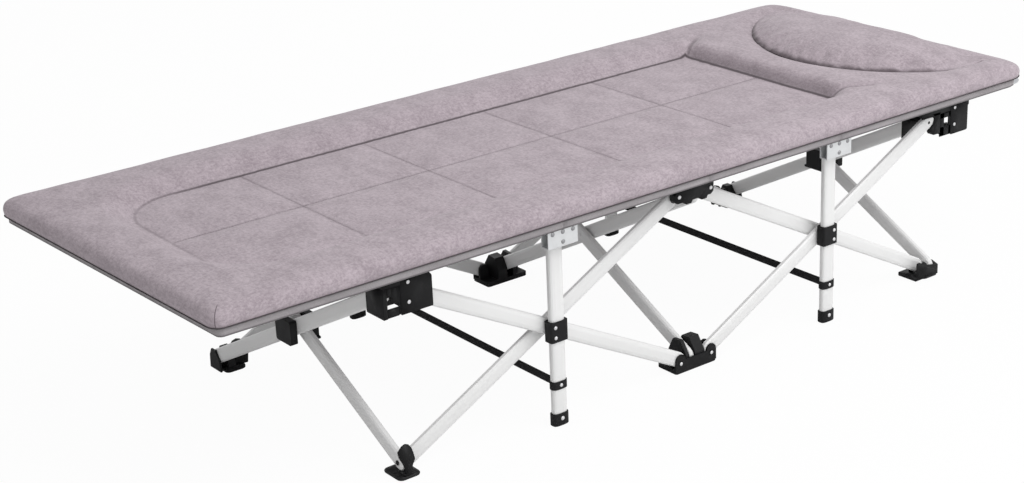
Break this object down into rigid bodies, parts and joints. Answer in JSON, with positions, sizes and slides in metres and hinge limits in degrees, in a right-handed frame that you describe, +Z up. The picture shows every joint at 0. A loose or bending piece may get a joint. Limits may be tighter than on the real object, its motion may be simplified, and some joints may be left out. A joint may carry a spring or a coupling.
{
  "type": "camping cot",
  "caption": "Folding camp bed: a scissor frame of white tubes and black hubs on sliding legs, with a cloth bed and a quilted pad that has its own oval pillow.",
  "frame": {"origin": "on the floor under the centre of the bed", "axes": "+X along the bed towards the pillow, +Y across it to the far side, +Z up"},
  "size_m": [1.88, 0.712, 0.4444],
  "materials": {
    "black_plastic": "moulded, satin",
    "white_paint": "powder coated, smooth",
    "white_steel": "powder coated, smooth",
    "rail_alloy": "mill finish",
    "grey_cloth": "coarse woven",
    "black_webbing": "woven tape",
    "heather_pad": "brushed heather, quilted"
  },
  "bodies": {
    "foot_middle_near": {"foot_middle_near": "black_plastic"},
    "strut_foot_outer_near": {"strut_foot_outer_near": "white_paint"},
    "cross_middle_near_low": {"cross_middle_near_low": "white_paint"},
    "cross_middle_far_low": {"cross_middle_far_low": "white_paint"},
    "foot_middle_far": {"foot_middle_far": "black_plastic"},
    "strut_foot_inner_near": {"strut_foot_inner_near": "white_paint"},
    "hub_upper_foot_near": {"hub_upper_foot_near": "black_plastic"},
    "foot_foot_near": {"foot_foot_near": "black_plastic"},
    "hub_upper_middle_near": {"hub_upper_middle_near": "black_plastic", "bed_cloth": "grey_cloth"},
    "collar_foot_near": {"collar_foot_near": "black_plastic"},
    "leg_foot_near": {"leg_tube_foot_near": "white_paint", "leg_cap_foot_near": "black_plastic", "leg_bracket_foot_near": "white_steel", "strap_foot": "black_webbing"},
    "strut_head_outer_near": {"strut_head_outer_near": "white_paint"},
    "strut_head_inner_near": {"strut_head_inner_near": "white_paint"},
    "hub_upper_head_near": {"hub_upper_head_near": "black_plastic"},
    "foot_head_near": {"foot_head_near": "black_plastic"},
    "collar_head_near": {"collar_head_near": "black_plastic"},
    "leg_head_near": {"leg_tube_head_near": "white_paint", "leg_cap_head_near": "black_plastic", "leg_bracket_head_near": "white_steel", "strap_head": "black_webbing"},
    "rail_foot_near": {"rail_foot_near": "rail_alloy"},
    "rail_mid_foot_near": {"rail_mid_foot_near": "rail_alloy"},
    "rail_head_near": {"rail_head_near": "rail_alloy"},
    "rail_mid_head_near": {"rail_mid_head_near": "rail_alloy"},
    "strut_foot_outer_far": {"strut_foot_outer_far": "white_paint"},
    "strut_foot_inner_far": {"strut_foot_inner_far": "white_paint"},
    "hub_upper_foot_far": {"hub_upper_foot_far": "black_plastic"},
    "foot_foot_far": {"foot_foot_far": "black_plastic"},
    "hub_upper_middle_far": {"hub_upper_middle_far": "black_plastic"},
    "collar_foot_far": {"collar_foot_far": "black_plastic"},
    "leg_foot_far": {"leg_tube_foot_far": "white_paint", "leg_cap_foot_far": "black_plastic", "leg_bracket_foot_far": "white_steel"},
    "strut_head_outer_far": {"strut_head_outer_far": "white_paint"},
    "strut_head_inner_far": {"strut_head_inner_far": "white_paint"},
    "hub_upper_head_far": {"hub_upper_head_far": "black_plastic"},
    "foot_head_far": {"foot_head_far": "black_plastic"},
    "collar_head_far": {"collar_head_far": "black_plastic"},
    "leg_head_far": {"leg_tube_head_far": "white_paint", "leg_cap_head_far": "black_plastic", "leg_bracket_head_far": "white_steel"},
    "rail_foot_far": {"rail_foot_far": "rail_alloy"},
    "rail_mid_foot_far": {"rail_mid_foot_far": "rail_alloy"},
    "rail_head_far": {"rail_head_far": "rail_alloy"},
    "rail_mid_head_far": {"rail_mid_head_far": "rail_alloy"},
    "cross_foot_near_low": {"cross_foot_near_low": "white_paint"},
    "cross_block_foot": {"cross_block_foot": "black_plastic"},
    "cross_foot_far_low": {"cross_foot_far_low": "white_paint"},
    "cross_head_near_low": {"cross_head_near_low": "white_paint"},
    "cross_block_head": {"cross_block_head": "black_plastic"},
    "cross_head_far_low": {"cross_head_far_low": "white_paint"},
    "pad": {"pad": "heather_pad", "pillow": "heather_pad"}
  },
  "joints": [
    {"name": "fold", "type": "hinge", "parent": "foot_middle_near", "child": "strut_foot_outer_near", "pos_m": [0.027, -0.3035, 0.026], "axis": [0, 1, 0], "range_deg": [0, 55], "deforming": ["bed_cloth", "strap_foot", "strap_head"]},
    {"name": "cross_middle_turn", "type": "hinge", "parent": "foot_middle_near", "child": "cross_middle_near_low", "pos_m": [0.065, -0.295, 0.026], "axis": [1, 0, 0], "range_deg": [0, 55.01]},
    {"name": "cross_middle_open", "type": "hinge", "parent": "cross_middle_near_low", "child": "cross_middle_far_low", "pos_m": [0.065, 0, 0.18], "axis": [1, 0, 0], "range_deg": [-110.01, 0]},
    {"name": "foot_middle_far_level", "type": "hinge", "parent": "cross_middle_far_low", "child": "foot_middle_far", "pos_m": [0.065, 0.295, 0.026], "axis": [1, 0, 0], "range_deg": [0, 55.01]},
    {"name": "strut_foot_inner_near_cross", "type": "hinge", "parent": "strut_foot_outer_near", "child": "strut_foot_inner_near", "pos_m": [-0.268, -0.288, 0.18], "axis": [0, 1, 0], "range_deg": [-110.01, 0]},
    {"name": "hub_upper_foot_near_level", "type": "hinge", "parent": "strut_foot_outer_near", "child": "hub_upper_foot_near", "pos_m": [-0.563, -0.3035, 0.334], "axis": [0, 1, 0], "range_deg": [-55.01, 0]},
    {"name": "foot_foot_near_level", "type": "hinge", "parent": "strut_foot_inner_near", "child": "foot_foot_near", "pos_m": [-0.563, -0.288, 0.026], "axis": [0, 1, 0], "range_deg": [0, 55.01]},
    {"name": "hub_upper_middle_near_level", "type": "hinge", "parent": "strut_foot_inner_near", "child": "hub_upper_middle_near", "pos_m": [0.027, -0.288, 0.334], "axis": [0, 1, 0], "range_deg": [0, 55.01]},
    {"name": "collar_foot_near_level", "type": "hinge", "parent": "strut_foot_outer_near", "child": "collar_foot_near", "pos_m": [-0.268, -0.3035, 0.18], "axis": [0, 1, 0], "range_deg": [-55.01, 0]},
    {"name": "leg_foot_near_slide", "type": "slide", "parent": "collar_foot_near", "child": "leg_foot_near", "axis": [0, 0, 1], "range_m": [-0.1249, 0]},
    {"name": "strut_head_outer_near_turn", "type": "hinge", "parent": "foot_middle_near", "child": "strut_head_outer_near", "pos_m": [0.103, -0.3035, 0.026], "axis": [0, 1, 0], "range_deg": [-55.01, 0]},
    {"name": "strut_head_inner_near_cross", "type": "hinge", "parent": "strut_head_outer_near", "child": "strut_head_inner_near", "pos_m": [0.398, -0.288, 0.18], "axis": [0, 1, 0], "range_deg": [0, 110.01]},
    {"name": "hub_upper_head_near_level", "type": "hinge", "parent": "strut_head_outer_near", "child": "hub_upper_head_near", "pos_m": [0.693, -0.3035, 0.334], "axis": [0, 1, 0], "range_deg": [0, 55.01]},
    {"name": "foot_head_near_level", "type": "hinge", "parent": "strut_head_inner_near", "child": "foot_head_near", "pos_m": [0.693, -0.288, 0.026], "axis": [0, 1, 0], "range_deg": [-55.01, 0]},
    {"name": "collar_head_near_level", "type": "hinge", "parent": "strut_head_outer_near", "child": "collar_head_near", "pos_m": [0.398, -0.3035, 0.18], "axis": [0, 1, 0], "range_deg": [0, 55.01]},
    {"name": "leg_head_near_slide", "type": "slide", "parent": "collar_head_near", "child": "leg_head_near", "axis": [0, 0, 1], "range_m": [-0.1249, 0]},
    {"name": "rail_foot_near_drop", "type": "hinge", "parent": "hub_upper_foot_near", "child": "rail_foot_near", "pos_m": [-0.589, -0.3395, 0.381], "axis": [0, 1, 0], "range_deg": [0, 89.66]},
    {"name": "rail_mid_foot_near_drop", "type": "hinge", "parent": "hub_upper_middle_near", "child": "rail_mid_foot_near", "pos_m": [0.053, -0.3395, 0.381], "axis": [0, 1, 0], "range_deg": [-89.66, 0]},
    {"name": "rail_head_near_drop", "type": "hinge", "parent": "hub_upper_head_near", "child": "rail_head_near", "pos_m": [0.719, -0.3395, 0.381], "axis": [0, 1, 0], "range_deg": [-89.66, 0]},
    {"name": "rail_mid_head_near_drop", "type": "hinge", "parent": "hub_upper_middle_near", "child": "rail_mid_head_near", "pos_m": [0.077, -0.3395, 0.381], "axis": [0, 1, 0], "range_deg": [0, 89.66]},
    {"name": "strut_foot_outer_far_turn", "type": "hinge", "parent": "foot_middle_far", "child": "strut_foot_outer_far", "pos_m": [0.027, 0.3035, 0.026], "axis": [0, 1, 0], "range_deg": [0, 55.01]},
    {"name": "strut_foot_inner_far_cross", "type": "hinge", "parent": "strut_foot_outer_far", "child": "strut_foot_inner_far", "pos_m": [-0.268, 0.288, 0.18], "axis": [0, 1, 0], "range_deg": [-110.01, 0]},
    {"name": "hub_upper_foot_far_level", "type": "hinge", "parent": "strut_foot_outer_far", "child": "hub_upper_foot_far", "pos_m": [-0.563, 0.3035, 0.334], "axis": [0, 1, 0], "range_deg": [-55.01, 0]},
    {"name": "foot_foot_far_level", "type": "hinge", "parent": "strut_foot_inner_far", "child": "foot_foot_far", "pos_m": [-0.563, 0.288, 0.026], "axis": [0, 1, 0], "range_deg": [0, 55.01]},
    {"name": "hub_upper_middle_far_level", "type": "hinge", "parent": "strut_foot_inner_far", "child": "hub_upper_middle_far", "pos_m": [0.027, 0.288, 0.334], "axis": [0, 1, 0], "range_deg": [0, 55.01]},
    {"name": "collar_foot_far_level", "type": "hinge", "parent": "strut_foot_outer_far", "child": "collar_foot_far", "pos_m": [-0.268, 0.3035, 0.18], "axis": [0, 1, 0], "range_deg": [-55.01, 0]},
    {"name": "leg_foot_far_slide", "type": "slide", "parent": "collar_foot_far", "child": "leg_foot_far", "axis": [0, 0, 1], "range_m": [-0.1249, 0]},
    {"name": "strut_head_outer_far_turn", "type": "hinge", "parent": "foot_middle_far", "child": "strut_head_outer_far", "pos_m": [0.103, 0.3035, 0.026], "axis": [0, 1, 0], "range_deg": [-55.01, 0]},
    {"name": "strut_head_inner_far_cross", "type": "hinge", "parent": "strut_head_outer_far", "child": "strut_head_inner_far", "pos_m": [0.398, 0.288, 0.18], "axis": [0, 1, 0], "range_deg": [0, 110.01]},
    {"name": "hub_upper_head_far_level", "type": "hinge", "parent": "strut_head_outer_far", "child": "hub_upper_head_far", "pos_m": [0.693, 0.3035, 0.334], "axis": [0, 1, 0], "range_deg": [0, 55.01]},
    {"name": "foot_head_far_level", "type": "hinge", "parent": "strut_head_inner_far", "child": "foot_head_far", "pos_m": [0.693, 0.288, 0.026], "axis": [0, 1, 0], "range_deg": [-55.01, 0]},
    {"name": "collar_head_far_level", "type": "hinge", "parent": "strut_head_outer_far", "child": "collar_head_far", "pos_m": [0.398, 0.3035, 0.18], "axis": [0, 1, 0], "range_deg": [0, 55.01]},
    {"name": "leg_head_far_slide", "type": "slide", "parent": "collar_head_far", "child": "leg_head_far", "axis": [0, 0, 1], "range_m": [-0.1249, 0]},
    {"name": "rail_foot_far_drop", "type": "hinge", "parent": "hub_upper_foot_far", "child": "rail_foot_far", "pos_m": [-0.589, 0.3395, 0.381], "axis": [0, 1, 0], "range_deg": [0, 89.66]},
    {"name": "rail_mid_foot_far_drop", "type": "hinge", "parent": "hub_upper_middle_far", "child": "rail_mid_foot_far", "pos_m": [0.053, 0.3395, 0.381], "axis": [0, 1, 0], "range_deg": [-89.66, 0]},
    {"name": "rail_head_far_drop", "type": "hinge", "parent": "hub_upper_head_far", "child": "rail_head_far", "pos_m": [0.719, 0.3395, 0.381], "axis": [0, 1, 0], "range_deg": [-89.66, 0]},
    {"name": "rail_mid_head_far_drop", "type": "hinge", "parent": "hub_upper_middle_far", "child": "rail_mid_head_far", "pos_m": [0.077, 0.3395, 0.381], "axis": [0, 1, 0], "range_deg": [0, 89.66]},
    {"name": "cross_foot_turn", "type": "hinge", "parent": "foot_foot_near", "child": "cross_foot_near_low", "pos_m": [-0.5865, -0.295, 0.026], "axis": [1, 0, 0], "range_deg": [0, 55.01]},
    {"name": "cross_block_foot_level", "type": "hinge", "parent": "cross_foot_near_low", "child": "cross_block_foot", "pos_m": [-0.5865, 0, 0.18], "axis": [1, 0, 0], "range_deg": [-55.01, 0]},
    {"name": "cross_foot_open", "type": "hinge", "parent": "cross_foot_near_low", "child": "cross_foot_far_low", "pos_m": [-0.6015, 0, 0.18], "axis": [1, 0, 0], "range_deg": [-110.01, 0]},
    {"name": "cross_head_turn", "type": "hinge", "parent": "foot_head_near", "child": "cross_head_near_low", "pos_m": [0.7165, -0.295, 0.026], "axis": [1, 0, 0], "range_deg": [0, 55.01]},
    {"name": "cross_block_head_level", "type": "hinge", "parent": "cross_head_near_low", "child": "cross_block_head", "pos_m": [0.7165, 0, 0.18], "axis": [1, 0, 0], "range_deg": [-55.01, 0]},
    {"name": "cross_head_open", "type": "hinge", "parent": "cross_head_near_low", "child": "cross_head_far_low", "pos_m": [0.7315, 0, 0.18], "axis": [1, 0, 0], "range_deg": [-110.01, 0]},
    {"name": "pad_lift", "type": "slide", "parent": "hub_upper_middle_near", "child": "pad", "axis": [0, 0, 1], "range_m": [0, 0.5761]}
  ],
  "couplings": [
    {"joint": "cross_middle_turn", "follows": "fold", "ratio": 1},
    {"joint": "cross_middle_open", "follows": "fold", "ratio": -2},
    {"joint": "foot_middle_far_level", "follows": "fold", "ratio": 1},
    {"joint": "strut_foot_inner_near_cross", "follows": "fold", "ratio": -2},
    {"joint": "hub_upper_foot_near_level", "follows": "fold", "ratio": -1},
    {"joint": "foot_foot_near_level", "follows": "fold", "ratio": 1},
    {"joint": "hub_upper_middle_near_level", "follows": "fold", "ratio": 1},
    {"joint": "collar_foot_near_level", "follows": "fold", "ratio": -1},
    {"joint": "leg_foot_near_slide", "follows": "fold", "m_per_rad": -0.13},
    {"joint": "strut_head_outer_near_turn", "follows": "fold", "ratio": -1},
    {"joint": "strut_head_inner_near_cross", "follows": "fold", "ratio": 2},
    {"joint": "hub_upper_head_near_level", "follows": "fold", "ratio": 1},
    {"joint": "foot_head_near_level", "follows": "fold", "ratio": -1},
    {"joint": "collar_head_near_level", "follows": "fold", "ratio": 1},
    {"joint": "leg_head_near_slide", "follows": "fold", "m_per_rad": -0.13},
    {"joint": "rail_foot_near_drop", "follows": "fold", "ratio": 1.63},
    {"joint": "rail_mid_foot_near_drop", "follows": "fold", "ratio": -1.63},
    {"joint": "rail_head_near_drop", "follows": "fold", "ratio": -1.63},
    {"joint": "rail_mid_head_near_drop", "follows": "fold", "ratio": 1.63},
    {"joint": "strut_foot_outer_far_turn", "follows": "fold", "ratio": 1},
    {"joint": "strut_foot_inner_far_cross", "follows": "fold", "ratio": -2},
    {"joint": "hub_upper_foot_far_level", "follows": "fold", "ratio": -1},
    {"joint": "foot_foot_far_level", "follows": "fold", "ratio": 1},
    {"joint": "hub_upper_middle_far_level", "follows": "fold", "ratio": 1},
    {"joint": "collar_foot_far_level", "follows": "fold", "ratio": -1},
    {"joint": "leg_foot_far_slide", "follows": "fold", "m_per_rad": -0.13},
    {"joint": "strut_head_outer_far_turn", "follows": "fold", "ratio": -1},
    {"joint": "strut_head_inner_far_cross", "follows": "fold", "ratio": 2},
    {"joint": "hub_upper_head_far_level", "follows": "fold", "ratio": 1},
    {"joint": "foot_head_far_level", "follows": "fold", "ratio": -1},
    {"joint": "collar_head_far_level", "follows": "fold", "ratio": 1},
    {"joint": "leg_head_far_slide", "follows": "fold", "m_per_rad": -0.13},
    {"joint": "rail_foot_far_drop", "follows": "fold", "ratio": 1.63},
    {"joint": "rail_mid_foot_far_drop", "follows": "fold", "ratio": -1.63},
    {"joint": "rail_head_far_drop", "follows": "fold", "ratio": -1.63},
    {"joint": "rail_mid_head_far_drop", "follows": "fold", "ratio": 1.63},
    {"joint": "cross_foot_turn", "follows": "fold", "ratio": 1},
    {"joint": "cross_block_foot_level", "follows": "fold", "ratio": -1},
    {"joint": "cross_foot_open", "follows": "fold", "ratio": -2},
    {"joint": "cross_head_turn", "follows": "fold", "ratio": 1},
    {"joint": "cross_block_head_level", "follows": "fold", "ratio": -1},
    {"joint": "cross_head_open", "follows": "fold", "ratio": -2},
    {"joint": "pad_lift", "follows": "fold", "m_per_rad": 0.6}
  ]
}
